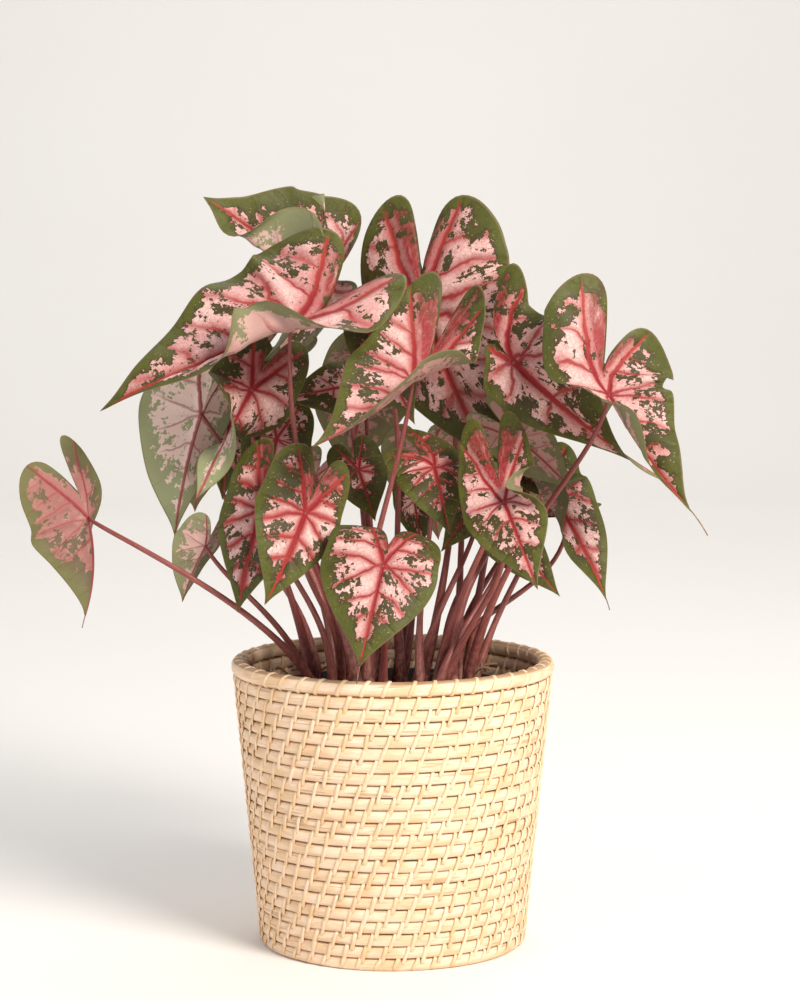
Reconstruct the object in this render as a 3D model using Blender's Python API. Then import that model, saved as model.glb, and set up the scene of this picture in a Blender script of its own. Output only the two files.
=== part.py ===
"""Caladium in a coiled rattan basket.

Every leaf blade is a thin closed solid bent from one heart-shaped outline. The stalks of each corm are one
solid. They stand in plain holes in the soil, which fills a nursery pot set inside the basket.
Metres, +Z up, the basket's flat underside on z = 0 and its middle on the Z axis.
"""
import math

import bmesh
import bpy
import numpy as np

MM = 0.001

# Basket: a cone of coiled cane rows, measured over the crests of the rows
RIM_RADIUS = 110 * MM
FOOT_RADIUS = 91 * MM
BASKET_HEIGHT = 196 * MM
COIL_ROWS = 22
RIM_COIL = 10 * MM
ROW_DEPTH = 1.6 * MM
BASKET_WALL = 8 * MM
BASKET_FLOOR = 6 * MM
BASKET_SIDES = 36

# Nursery pot inside the basket, and the soil in it
POT_RIM_RADIUS = 88 * MM
POT_FOOT_RADIUS = 66 * MM
POT_TOP = 174 * MM
POT_WALL = 1.4 * MM
POT_LIP = 2.2 * MM
POT_LIP_DROP = 9 * MM
SOIL_TOP = 168 * MM
GAP = 0.3 * MM

# Corms, the bulbs that the stalks rise from: their middles on the soil
CORM_RADIUS = 14 * MM
CORM_DEPTH = 12 * MM
CORM_HEAD = 1.5 * MM
STALK_CIRCLE = 7 * MM
STALK_FOOT = 164 * MM
CORMS = {
    "front_left": (-45 * MM, -14 * MM),
    "front_centre": (-12 * MM, -30 * MM),
    "front_right": (24 * MM, -27 * MM),
    "left": (-24 * MM, 16 * MM),
    "centre": (11 * MM, 10 * MM),
    "right": (46 * MM, 4 * MM),
    "back": (-2 * MM, 44 * MM),
}

# Stalk radii at the sheath, half-way up and under the blade
SHEATH_RADIUS = 3.6 * MM
STALK_RADIUS = 2.0 * MM
STALK_TIP_RADIUS = 1.1 * MM
STALK_SIDES = 5
STALK_STEPS = 7

# Blades. Half of the flat outline in shares of the length from stalk to tip: (along, across)
BLADE_THICKNESS = 0.7 * MM
STALK_GAP = 0.9 * MM
ROLL_WIDTH = 0.09
LOBE_ROOT = 0.35
HALF_OUTLINE = (
    (1.00, 0.000),
    (0.90, 0.038),
    (0.74, 0.130),
    (0.53, 0.255),
    (0.30, 0.360),
    (0.08, 0.410),
    (-0.14, 0.400),
    (-0.34, 0.395),
    (-0.53, 0.365),
    (-0.68, 0.285),
    (-0.73, 0.185),
    (-0.66, 0.100),
    (-0.47, 0.040),
    (-0.26, 0.000),
)

# Each leaf: its corm, the stalk's place round the corm in sixths of a turn, where the stalk joins the blade
# and where the tip hangs in millimetres, and the way the upper face looks. Angles are in degrees. A pair is
# for the plus and minus side, and plus lies to the left of somebody who looks from the stalk to the tip.
LEAVES = (
    dict(name="back_centre", corm="centre", spot=0, at=(23, 35, 433), tip=(77, 24, 324),
         face=(-0.5, -0.8, 0.3), width=(1.3, 1.0), lobe=(0.88, 1.0), spread=1, bend=40, lobe_bend=10,
         sway=10, lobe_sway=15, wave=0.03, phase=1.0),
    dict(name="front_centre", corm="front_centre", spot=2, at=(14, -60, 390), tip=(-51, -120, 349),
         face=(0.1, -0.7, 0.7), width=(1.05, 1.1), lobe=(1.2, 1.22), spread=0.85, bend=20, lobe_bend=-42,
         fold=(60, 10), lobe_fold=(25, 10), curl=(40, -20), lobe_curl=(20, -10), sway=-30, lobe_sway=-10,
         wave=0.03),
    dict(name="upper_left", corm="front_centre", spot=3, at=(-68, -30, 425), tip=(-193, -60, 369),
         face=(-0.2, -0.85, 0.45), width=(0.85, 1.1), lobe=(0.75, 0.85), spread=(1, 1.15), bend=20,
         fold=(60, 0), lobe_fold=(30, 0), curl=(-10, -20), rolls=((1, 0.2, 0.14, 0.12, 140),), sway=-10,
         lobe_sway=-25, wave=0.04, waves=7, phase=2.0),
    dict(name="top_left", corm="left", spot=1.5, at=(-57, 84, 460), tip=(-131, 38, 511),
         face=(0.2, -0.8, 0.4), width=(1.75, 1.5), lobe=(0.7, 0.95), spread=(0.7, 1), lobe_fold=(-20, 5),
         rolls=((1, 0.5, 0.25, 0.08, 165),), sway=-15, lobe_sway=-45, wave=0.05, waves=7, phase=1.0),
    dict(name="shaded_centre", corm="centre", spot=2, at=(-7, 0, 408), tip=(15, -15, 357),
         face=(-0.3, -1, 0.2), small=True),
    dict(name="twisted_left", corm="front_left", spot=1, at=(-96, 0, 380), tip=(-133, -35, 306), face=(0.1,
         -1, 0.2), twist=-230, width=0.85, lobe=0.8),
    dict(name="hanging_left", corm="front_left", spot=2.5, under=0.3, at=(-133, 35, 361), tip=(-152, 30, 276),
         face=(-0.55, 0.8, 0.2), width=(1.2, 1), fold=33),
    dict(name="far_left", corm="front_left", spot=4, rise=0.3, under=0.1, at=(-206, -20, 294),
         tip=(-207, -30, 228), face=(-0.45, 0.85, 0.1), width=(1.6, 0.9), lobe=(1.1, 1.15), lobe_bend=0,
         fold=(10, 80), lobe_fold=(5, 40), sway=40, lobe_sway=15),
    dict(name="small_left", corm="front_left", spot=3, under=0.3, at=(-126, -30, 276), tip=(-142, -30, 238),
         face=(-0.6, 0.7, 0.2), width=1.3, lobe=(0.7, 1), fold=40, lobe_bend=-20, small=True),
    dict(name="middle_left", corm="left", spot=4, at=(-81, 40, 343), tip=(-93, 30, 285), face=(0, -1, 0.1),
         lobe=0.7, small=True),
    dict(name="low_left", corm="front_left", spot=5, at=(-87, -50, 303), tip=(-103, -60, 235),
         face=(-0.3, -1, 0.1)),
    dict(name="front_left", corm="front_left", spot=0, at=(-57, -72, 303), tip=(-83, -97, 245),
         face=(0.35, -0.9, 0.3), width=(0.9, 1.2), bend=40, lobe_bend=0),
    dict(name="deep_centre", corm="left", spot=5, at=(-24, 34, 322), tip=(-12, 16, 288), face=(0, -1, 0.3),
         width=1.2, small=True),
    dict(name="middle_centre", corm="front_right", spot=2, at=(28, -25, 329), tip=(38, -50, 286),
         face=(0.1, -1, 0.3), width=(1, 1.3), lobe_sway=-45),
    dict(name="front_right", corm="front_right", spot=0, at=(73, -80, 311), tip=(93, -125, 259),
         face=(-0.1, -1, 0.3), width=(0.95, 1.0), lobe=1.35, spread=0.9, lobe_bend=-15,
         rolls=((1, 0, 0.25, 0.15, 150),), lobe_sway=12),
    dict(name="front_low", corm="front_centre", spot=5, at=(-6, -105, 272), tip=(-21, -128, 209), face=(0,
         -1, 0.35), width=(1.3, 1.45), lobe_bend=75),
    dict(name="upper_right", corm="right", spot=1, at=(81, -25, 400), tip=(187, -35, 317),
         face=(0.1, -1, 0.3), width=(0.85, 0.5), lobe=(0.75, 0.2), spread=(0.6, 0.5), fold=(20, 5),
         twist=115, sway=20, lobe_sway=48),
    dict(name="far_right", corm="right", spot=5, reach=0.25, under=0.3, at=(141, -80, 381),
         tip=(191, -115, 308), face=(0.3, -1, 0.3), width=(1, 0.8), lobe=(0.85, 1.2), spread=(1.3, 1.6),
         lobe_bend=-20, fold=(10, 70), lobe_fold=(0, 10), rolls=((-1, 0.5, 0.3, 0.12, 70),), sway=25,
         lobe_sway=38, wave=0.05, waves=7),
    dict(name="low_right", corm="right", spot=0, at=(109, 10, 307), tip=(146, -10, 237), face=(0.5, -0.7, 0.2),
         lobe_sway=40, lobe=0.8, fold=20, width=0.9, rolls=((-1, 0, 0.35, 0.12, 140),)),
    dict(name="turned_right", corm="front_right", spot=1, at=(86, -6, 347), tip=(123, -14, 312),
         face=(0, 1, 0.3), small=True),
    dict(name="tip_right", corm="front_right", spot=5, at=(77, -8, 282), tip=(114, -18, 240),
         face=(0, -1, 0.3), width=0.8, lobe=0.4, small=True),
    dict(name="low_centre", corm="centre", spot=5, at=(60, 12, 304), tip=(33, 12, 267), face=(0, -1, 0.3),
         width=0.9, lobe=0.7, small=True),
    dict(name="inner_back", corm="back", spot=0, at=(15, 60, 299), tip=(20, 50, 264), face=(0, -1, 0.3),
         small=True),
    dict(name="inner_right", corm="right", spot=2, at=(94, 30, 321), tip=(109, 20, 302), face=(0, -1, 0.3),
         small=True),
    dict(name="level_right", corm="right", spot=3, at=(122, 35, 297), tip=(94, 30, 285), face=(0, -0.3, 1),
         small=True),
    dict(name="pale_left", corm="left", spot=2.2, at=(-88, 64, 364), tip=(-95, 58, 324), face=(0, -1, 0.3),
         small=True),
    dict(name="inner_left", corm="left", spot=0.5, reach=0.2, at=(-30, 50, 380), tip=(-80, 45, 369),
         face=(0, -1, 0.5), small=True),
    dict(name="rear_left", corm="left", spot=5.5, at=(-114, 75, 368), tip=(-121, 65, 298), face=(0, -1, 0.5),
         small=True),
    dict(name="back_upper_right", corm="right", spot=1.5, at=(60, 105, 420), tip=(95, 160, 350),
         face=(0.3, 0.9, 0.5), lobe=0.85, small=True),
    dict(name="back_upper_centre", corm="back", spot=2, at=(-20, 130, 375), tip=(-35, 180, 300),
         face=(-0.1, 0.9, 0.5), small=True),
    dict(name="back_upper_left", corm="left", spot=2.5, at=(-110, 135, 385), tip=(-155, 170, 320),
         face=(-0.6, 0.8, 0.5), small=True),
    dict(name="back_far_right", corm="right", spot=4, at=(120, 75, 390), tip=(155, 145, 345),
         face=(0.4, 0.6, 0.8), small=True),
    dict(name="back_low_centre", corm="back", spot=1, at=(24, 135, 322), tip=(34, 178, 257),
         face=(0, 0.9, 0.4), lobe=0.75, small=True),
    dict(name="back_low_left", corm="back", spot=3, at=(-58, 126, 308), tip=(-80, 168, 246),
         face=(-0.3, 0.9, 0.4), width=0.75, lobe=0.7, small=True),
    dict(name="back_low_right", corm="right", spot=2.5, at=(94, 112, 330), tip=(114, 168, 275),
         face=(0.4, 0.9, 0.4), lobe=0.7, small=True),
    dict(name="back_far_left", corm="front_left", spot=2, at=(-135, 120, 330), tip=(-148, 160, 280),
         face=(-0.6, 0.8, 0.4), small=True),
)


def pair(value):
    """The value for the plus side and for the minus side."""
    return np.array(value if isinstance(value, tuple) else (value, value), float)


def arc(reach, start, rate):
    """Across and up after going reach along an arc that starts at an angle and turns at a rate."""
    rate = np.where(np.abs(rate) < 1e-6, 1e-6, rate)
    end = start + rate * reach
    return (np.sin(end) - np.sin(start)) / rate, (np.cos(start) - np.cos(end)) / rate


def smooth_line(points, count):
    """A curve through the points, as count points evenly spaced along it."""
    p = np.asarray(points, float)
    p = np.vstack([2 * p[0] - p[1], p, 2 * p[-1] - p[-2]])
    u = np.linspace(0, 1, 24, endpoint=False)[:, None]
    spans = []
    for a, b, c, d in zip(p, p[1:], p[2:], p[3:]):
        spans.append(b + 0.5 * u * (c - a + u * (2 * a - 5 * b + 4 * c - d + u * (3 * b - a - 3 * c + d))))
    line = np.vstack(spans + [p[-2:-1]])
    reach = np.concatenate([[0], np.cumsum(np.linalg.norm(np.diff(line, axis=0), axis=1))])
    even = np.linspace(0, reach[-1], count)
    return np.column_stack([np.interp(even, reach, line[:, k]) for k in range(2)])


class Leaf:
    """One leaf: how its blade is placed and bent, and how its stalk rises."""

    def __init__(self, name, corm, spot, at, tip, face, width=1, lobe=1, spread=1, bend=20, lobe_bend=15,
                 fold=5, curl=-20, lobe_fold=None, lobe_curl=None, twist=0, sway=0, lobe_sway=0, wave=0.02,
                 waves=5, phase=0.0, rolls=(), rise=0.45, reach=0.35, under=0.65, small=False):
        self.name, self.corm, self.spot, self.small = name, corm, spot, small
        self.at = np.array(at, float) * MM
        chord = np.array(tip, float) * MM - self.at
        straight = np.linalg.norm(chord)
        chord = chord / straight
        look = np.array(face, float)
        look = look - look.dot(chord) * chord
        look = look / np.linalg.norm(look)
        half_bend, half_sway = math.radians(bend) / 2, math.radians(sway) / 2
        along = chord * math.cos(half_bend) + look * math.sin(half_bend)
        self.up = look * math.cos(half_bend) - chord * math.sin(half_bend)
        self.along = along * math.cos(half_sway) - np.cross(self.up, along) * math.sin(half_sway)
        self.side = np.cross(self.up, self.along)
        self.length = straight / (np.sinc(half_bend / math.pi) * np.sinc(half_sway / math.pi))
        self.width, self.lobe, self.spread = pair(width), pair(lobe), pair(spread)
        self.bend, self.lobe_bend = math.radians(bend), math.radians(lobe_bend)
        self.sway, self.lobe_sway = math.radians(sway), math.radians(lobe_sway)
        self.twist = math.radians(twist)
        self.fold, self.curl = np.radians(pair(fold)), np.radians(pair(curl))
        self.lobe_fold = self.fold if lobe_fold is None else np.radians(pair(lobe_fold))
        self.lobe_curl = self.curl if lobe_curl is None else np.radians(pair(lobe_curl))
        self.wave, self.waves, self.phase, self.rolls = wave, waves, phase, rolls
        self.rise, self.reach, self.under = rise, reach, under

    def outline(self, count):
        """The flat outline from the tip round the plus side to the sinus and back round the minus side."""
        halves = []
        for side in (0, 1):
            half = smooth_line(HALF_OUTLINE, count)
            spread = 1 + (self.spread[side] - 1) * np.clip(-half[:, 0] / 0.4, 0, 1)
            half[:, 1] *= self.width[side] * spread
            half[half[:, 0] < 0, 0] *= self.lobe[side]
            halves.append(half)
        sinus = (halves[0][-1] + halves[1][-1]) / 2
        return np.vstack([halves[0][:-1], sinus, halves[1][-2:0:-1] * (1, -1)])

    def section(self, s, t):
        """Across and up of flat points, from the folds, curls and rolls of the blade's two sides."""
        side, reach = np.where(t >= 0, 0, 1), np.abs(t)
        body = np.clip(0.5 + s / 0.5, 0, 1)
        body = body * body * (3 - 2 * body)
        angle = self.lobe_fold[side] + (self.fold[side] - self.lobe_fold[side]) * body
        curl = (self.lobe_curl[side] + (self.curl[side] - self.lobe_curl[side]) * body) / 0.45
        start, turn = np.full(len(s), 1.0), np.zeros(len(s))
        for roll_side, centre, spread, begins, degrees in self.rolls:
            here = side == (0 if roll_side > 0 else 1)
            turn = turn + here * math.radians(degrees) * np.exp(-((s - centre) / spread) ** 2)
            start = np.where(here, begins, start)
        rolled = curl + turn / ROLL_WIDTH
        y, z = 0, 0
        for begins, ends, rate in ((0, start, curl), (start, start + ROLL_WIDTH, rolled),
                                   (start + ROLL_WIDTH, 2, curl)):
            step = np.clip(reach, begins, ends) - begins
            across, up = arc(step, angle, rate)
            y, z, angle = y + across, z + up, angle + rate * step
        return np.where(side == 0, y, -y), z

    def bent(self, flat, share):
        """Points in space of flat points, each at its share of the way out to the edge."""
        s, t = flat[:, 0], flat[:, 1]
        y, z = self.section(s, t)
        ripple = self.wave * np.sin(self.waves * np.arctan2(t, s) + self.phase) * share**2
        z = z + ripple * np.clip((1 - s) * 4, 0, 1)
        turn = self.twist * np.clip(s, 0, 1)
        y, z = y * np.cos(turn) - z * np.sin(turn), y * np.sin(turn) + z * np.cos(turn)
        back = np.sign(s)
        rate = np.where(s > 0, self.sway, self.lobe_sway / LOBE_ROOT)
        curved = np.where(s > 0, s, np.minimum(-s, LOBE_ROOT))
        angle = rate * curved
        across, inward = arc(curved, 0, rate)
        straight = np.abs(s) - curved
        across, inward = across + straight * np.cos(angle), inward + straight * np.sin(angle)
        x, y = back * (across - y * np.sin(angle)), inward + y * np.cos(angle)
        back = np.sign(x)
        rate = np.where(x > 0, self.bend, self.lobe_bend / 0.75)
        angle = rate * np.abs(x)
        out, drop = arc(np.abs(x), 0, rate)
        x, z = back * (out + z * np.sin(angle)), z * np.cos(angle) - drop
        return self.at + self.length * (np.outer(x, self.along) + np.outer(y, self.side) + np.outer(z, self.up))

    def stalk(self, steps):
        """The stalk's centre line, from its corm to the blade's underside, and its radii."""
        turn = math.pi / 3 * self.spot
        round_corm = np.array([math.cos(turn), math.sin(turn), 0])
        foot = np.array([*CORMS[self.corm], STALK_FOOT]) + STALK_CIRCLE * round_corm
        top = self.at - self.up * STALK_GAP
        far = np.linalg.norm(top - foot)
        low = foot + far * (self.rise * np.array([0, 0, 1]) + 0.1 * round_corm)
        high = top - far * self.reach * (0.75 * self.up + np.array([0, 0, self.under]))
        u = np.linspace(0, 1, steps + 1)
        weights = np.column_stack([(1 - u) ** 3, 3 * u * (1 - u) ** 2, 3 * u**2 * (1 - u), u**3])
        line = weights @ np.array([foot, low, high, top])
        radii = np.interp(u, (0, 0.12, 0.3, 0.9, 1), (SHEATH_RADIUS, 0.95 * SHEATH_RADIUS, 1.1 * STALK_RADIUS,
                                                     0.75 * STALK_RADIUS, STALK_TIP_RADIUS))
        return line, radii


def material(name, colour, roughness):
    """A plain material of one colour."""
    made = bpy.data.materials.new(name)
    made.use_nodes = True
    shader = made.node_tree.nodes["Principled BSDF"]
    shader.inputs["Base Color"].default_value = (*colour, 1)
    shader.inputs["Roughness"].default_value = roughness
    made.diffuse_color = (*colour, 1)
    return made


def add_object(name, points, faces, look, smooth=False):
    """An object made of points and faces, all of them facing outward."""
    mesh = bpy.data.meshes.new(name)
    mesh.from_pydata([tuple(p) for p in points], [], [tuple(f) for f in faces])
    bm = bmesh.new()
    bm.from_mesh(mesh)
    bmesh.ops.recalc_face_normals(bm, faces=bm.faces)
    bm.to_mesh(mesh)
    bm.free()
    mesh.polygons.foreach_set("use_smooth", [smooth] * len(mesh.polygons))
    mesh.materials.append(look)
    made = bpy.data.objects.new(name, mesh)
    bpy.context.collection.objects.link(made)
    return made


def turned(name, profile, sides, look):
    """A solid turned round the Z axis from a profile of (radius, height) that starts and ends on the axis."""
    points, faces, rings = [], [], []
    for radius, height in profile:
        rings.append(len(points))
        if radius == 0:
            points.append((0, 0, height))
            continue
        for k in range(sides):
            turn = 2 * math.pi * k / sides
            points.append((radius * math.cos(turn), radius * math.sin(turn), height))
    for i in range(len(profile) - 1):
        a, b = rings[i], rings[i + 1]
        for k in range(sides):
            n = (k + 1) % sides
            if profile[i][0] == 0:
                faces.append((a, b + k, b + n))
            elif profile[i + 1][0] == 0:
                faces.append((a + k, a + n, b))
            else:
                faces.append((a + k, a + n, b + n, b + k))
    return add_object(name, points, faces, look, smooth=True)


def boolean(target, other, operation, self_cut=False):
    """The target joined with or cut by the other object, which is then removed."""
    change = target.modifiers.new(operation, "BOOLEAN")
    change.operation = operation
    change.solver = "EXACT"
    change.object = other
    change.use_self = self_cut
    other.display_type = "WIRE"
    other.hide_render = True
    bpy.context.view_layer.update()
    result = bpy.data.meshes.new_from_object(target.evaluated_get(bpy.context.evaluated_depsgraph_get()))
    target.modifiers.clear()
    target.data = result
    bpy.data.objects.remove(other)


def blade(leaf, look):
    """A leaf's blade: the same triangles on both faces, and a thin edge between them."""
    around, rings = (18, 2) if leaf.small else (24, 3)
    edge = leaf.outline(around // 2 + 1)
    flat = np.vstack([np.zeros((1, 2))] + [edge * k / rings for k in range(1, rings + 1)])
    share = np.concatenate([[0]] + [np.full(around, k / rings) for k in range(1, rings + 1)])
    points = leaf.bent(flat, share)
    upper = [(0, 1 + k, 1 + (k + 1) % around) for k in range(around)]
    for ring in range(1, rings):
        a, b = 1 + (ring - 1) * around, 1 + ring * around
        for k in range(around):
            n = (k + 1) % around
            upper += [(a + k, b + k, a + n), (b + k, b + n, a + n)]
    corners = points[np.array(upper)]
    facing = np.cross(corners[:, 1] - corners[:, 0], corners[:, 2] - corners[:, 0])
    normals = np.zeros_like(points)
    for k in range(3):
        np.add.at(normals, np.array(upper)[:, k], facing)
    normals /= np.linalg.norm(normals, axis=1)[:, None]
    half = normals * BLADE_THICKNESS / 2
    total = len(points)
    lower = [(c + total, b + total, a + total) for a, b, c in upper]
    first = 1 + (rings - 1) * around
    rim = []
    for k in range(around):
        a, b = first + k, first + (k + 1) % around
        rim += [(a, a + total, b), (b, a + total, b + total)]
    return add_object("blade_" + leaf.name, np.vstack([points + half, points - half]), upper + lower + rim, look)


def tube(line, radii, last):
    """Points and faces of a stalk along its centre line, its last ring square to the blade."""
    runs = np.gradient(line, axis=0)
    runs[0], runs[-1] = (0, 0, 1), last
    points, faces = [], []
    across = np.array([0, 1, 0])
    for middle, run, radius in zip(line, runs, radii):
        run = run / np.linalg.norm(run)
        across = across - across.dot(run) * run
        across = across / np.linalg.norm(across)
        beside = np.cross(run, across)
        for k in range(STALK_SIDES):
            turn = 2 * math.pi * k / STALK_SIDES
            points.append(middle + radius * (math.cos(turn) * across + math.sin(turn) * beside))
    for i in range(len(line) - 1):
        a, b = i * STALK_SIDES, (i + 1) * STALK_SIDES
        for k in range(STALK_SIDES):
            n = (k + 1) % STALK_SIDES
            faces += [(a + k, a + n, b + n), (a + k, b + n, b + k)]
    faces.append(tuple(range(STALK_SIDES))[::-1])
    faces.append(tuple(len(points) - STALK_SIDES + k for k in range(STALK_SIDES)))
    return points, faces


def corm_shape(name, place, radius, low, high, look):
    """A short twelve-sided drum at a corm's place."""
    points, faces = [], [tuple(range(12))[::-1], tuple(range(12, 24))]
    for height, size in ((low, radius), (high, radius - 1.5 * MM)):
        for k in range(12):
            turn = math.pi / 6 * k
            points.append((place[0] + size * math.cos(turn), place[1] + size * math.sin(turn), height))
    for k in range(12):
        n = (k + 1) % 12
        faces.append((k, n, n + 12, k + 12))
    return add_object(name, points, faces, look)


def stalks(corm, leaves, look):
    """A corm and all the stalks that rise from it, as one solid."""
    low, high = SOIL_TOP - CORM_DEPTH, SOIL_TOP + CORM_HEAD
    body = corm_shape("stalks_" + corm, CORMS[corm], CORM_RADIUS, low, high, look)
    for leaf in leaves:
        line, radii = leaf.stalk(STALK_STEPS)
        points, faces = tube(line, radii, leaf.up)
        boolean(body, add_object("stalk", points, faces, look), "UNION")
    return body


def basket(look):
    """The basket: rows of coiled cane outside, a thicker coil for the rim, a flat foot and a plain inside."""
    row = (BASKET_HEIGHT - RIM_COIL) / COIL_ROWS
    slope = (RIM_RADIUS - FOOT_RADIUS) / BASKET_HEIGHT
    profile = [(0, 0), (FOOT_RADIUS - 3 * MM, 0)]
    for k in range(COIL_ROWS):
        crest = (k + 0.5) * row
        profile.append((FOOT_RADIUS + slope * crest, crest))
        profile.append((FOOT_RADIUS + slope * (crest + row / 2) - ROW_DEPTH, crest + row / 2))
    rim = BASKET_HEIGHT - RIM_COIL / 2
    middle = RIM_RADIUS - RIM_COIL / 2 + 0.5 * MM
    for degrees in (-20, 25, 70, 110, 155, 200):
        turn = math.radians(degrees)
        profile.append((middle + RIM_COIL / 2 * math.cos(turn), rim + RIM_COIL / 2 * math.sin(turn)))
    profile.append((FOOT_RADIUS - BASKET_WALL + slope * BASKET_FLOOR, BASKET_FLOOR))
    profile.append((0, BASKET_FLOOR))
    return turned("basket", profile, BASKET_SIDES, look)


def nursery_pot(look):
    """The thin pot that stands in the basket, with a lip round its top."""
    low = BASKET_FLOOR + GAP
    lip = POT_RIM_RADIUS + POT_LIP
    profile = [(0, low), (POT_FOOT_RADIUS, low), (POT_RIM_RADIUS - 1 * MM, POT_TOP - POT_LIP_DROP),
               (lip, POT_TOP - POT_LIP_DROP), (lip, POT_TOP), (POT_RIM_RADIUS - POT_WALL, POT_TOP),
               (POT_FOOT_RADIUS - POT_WALL, low + POT_WALL), (0, low + POT_WALL)]
    return turned("nursery_pot", profile, BASKET_SIDES, look)


def soil(look):
    """The soil: a block that fills the pot, a little higher in the middle, with a plain hole for each corm."""
    low = BASKET_FLOOR + POT_WALL + 2 * GAP
    slope = (POT_RIM_RADIUS - POT_FOOT_RADIUS) / (POT_TOP - BASKET_FLOOR - GAP - POT_WALL)
    bottom = POT_FOOT_RADIUS - POT_WALL - 2 * GAP
    top = bottom + slope * (SOIL_TOP - 4 * MM - low) - GAP
    profile = [(0, low), (bottom, low), (top, SOIL_TOP - 4 * MM), (0.8 * top, SOIL_TOP), (0, SOIL_TOP)]
    body = turned("soil", profile, BASKET_SIDES, look)
    for place in CORMS.values():
        hole = corm_shape("hole", place, CORM_RADIUS + 2 * GAP, SOIL_TOP - CORM_DEPTH - GAP,
                          SOIL_TOP + CORM_DEPTH, look)
        boolean(body, hole, "DIFFERENCE")
    return body


def clear_scene():
    """Remove what is in the file."""
    for old in list(bpy.data.objects):
        bpy.data.objects.remove(old)


def main():
    """Build the plant and its containers."""
    clear_scene()
    blade_look = material("blade", (0.42, 0.20, 0.16), 0.5)
    stalk_look = material("stalk", (0.24, 0.07, 0.08), 0.5)
    basket(material("rattan", (0.66, 0.50, 0.30), 0.6))
    nursery_pot(material("pot", (0.02, 0.02, 0.02), 0.5))
    soil(material("soil", (0.06, 0.04, 0.03), 0.95))
    leaves = [Leaf(**values) for values in LEAVES]
    for leaf in leaves:
        blade(leaf, blade_look)
    for corm in CORMS:
        stalks(corm, [leaf for leaf in leaves if leaf.corm == corm], stalk_look)


main()
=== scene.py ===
import math

import bpy
import numpy as np
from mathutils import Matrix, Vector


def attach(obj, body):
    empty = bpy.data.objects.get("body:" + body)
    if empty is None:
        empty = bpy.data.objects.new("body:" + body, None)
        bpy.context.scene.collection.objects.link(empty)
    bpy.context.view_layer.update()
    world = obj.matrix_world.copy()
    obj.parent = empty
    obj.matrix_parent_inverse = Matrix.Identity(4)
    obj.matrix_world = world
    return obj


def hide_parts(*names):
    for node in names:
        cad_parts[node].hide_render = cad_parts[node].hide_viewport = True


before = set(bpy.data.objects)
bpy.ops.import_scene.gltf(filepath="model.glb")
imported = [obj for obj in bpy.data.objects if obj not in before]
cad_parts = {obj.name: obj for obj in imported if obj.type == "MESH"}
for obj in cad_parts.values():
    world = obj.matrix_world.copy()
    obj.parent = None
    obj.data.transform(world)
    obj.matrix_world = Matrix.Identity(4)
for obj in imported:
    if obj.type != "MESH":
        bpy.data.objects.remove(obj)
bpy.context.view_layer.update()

# The basket's coils: thick rattan core laid round and round, one row on the other, from a flat foot to a
# slightly thicker rim. The cane is pale straw, with fibres along it. The grooves between the rows carry
# painted shade: the top and bottom of each row are darkened where the rows meet.
MM = 0.001
RIM_RADIUS = 110 * MM
FOOT_RADIUS = 91 * MM
BASKET_HEIGHT = 196 * MM
COIL_ROWS = 22
RIM_COIL = 10 * MM
ROW = (BASKET_HEIGHT - RIM_COIL) / COIL_ROWS
RIM_LEVEL = BASKET_HEIGHT - RIM_COIL / 2
RIM_MIDDLE = RIM_RADIUS - RIM_COIL / 2 + 0.3 * MM
CANE_DEPTH = 7.8 * MM
CANE_HEIGHT = 0.985 * ROW
CANE_DRIFT = 0.35 * MM
FOOT_COILS = 10
FOOT_CANE_WIDTH = 8.6 * MM
FOOT_CANE_HEIGHT = 6 * MM
FOOT_CANE_LEVEL = 3.4 * MM
FOOT_HOLE_RADIUS = 5 * MM
FLARE = (RIM_RADIUS - FOOT_RADIUS) / BASKET_HEIGHT
random = np.random.default_rng(7)


class Wire:
    """A value on its way between two shader nodes. Arithmetic on it adds Math nodes."""

    def __init__(self, finish, socket):
        self.finish, self.socket = finish, socket

    def maths(self, operation, *others):
        inputs = dict(enumerate([self, *others]))
        return self.finish.node("ShaderNodeMath", dict(operation=operation), inputs)

    def __add__(self, other):
        return self.maths("ADD", other)

    def __sub__(self, other):
        return self.maths("SUBTRACT", other)

    def __mul__(self, other):
        return self.maths("MULTIPLY", other)

    def __truediv__(self, other):
        return self.maths("DIVIDE", other)

    def __rsub__(self, other):
        return self.maths("MULTIPLY_ADD", -1, other)

    def __neg__(self):
        return self.maths("MULTIPLY", -1)

    def __abs__(self):
        return self.maths("ABSOLUTE")

    __radd__ = __add__
    __rmul__ = __mul__

    def angle(self, along):
        """The angle of a place that lies this far across and so far along."""
        return self.maths("ARCTAN2", along)

    def wrap(self):
        """The part of the value after its whole number, centred: from -0.5 to 0.5."""
        return (self + 0.5).maths("FRACT") - 0.5

    def least(self, other):
        return self.maths("MINIMUM", other)

    def most(self, other):
        return self.maths("MAXIMUM", other)

    def step(self, low, high):
        """0 below low and 1 above high, with a soft change between them."""
        return self.finish.node("ShaderNodeMapRange", dict(interpolation_type="SMOOTHSTEP"),
                                {"Value": self, "From Min": low, "From Max": high})


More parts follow.
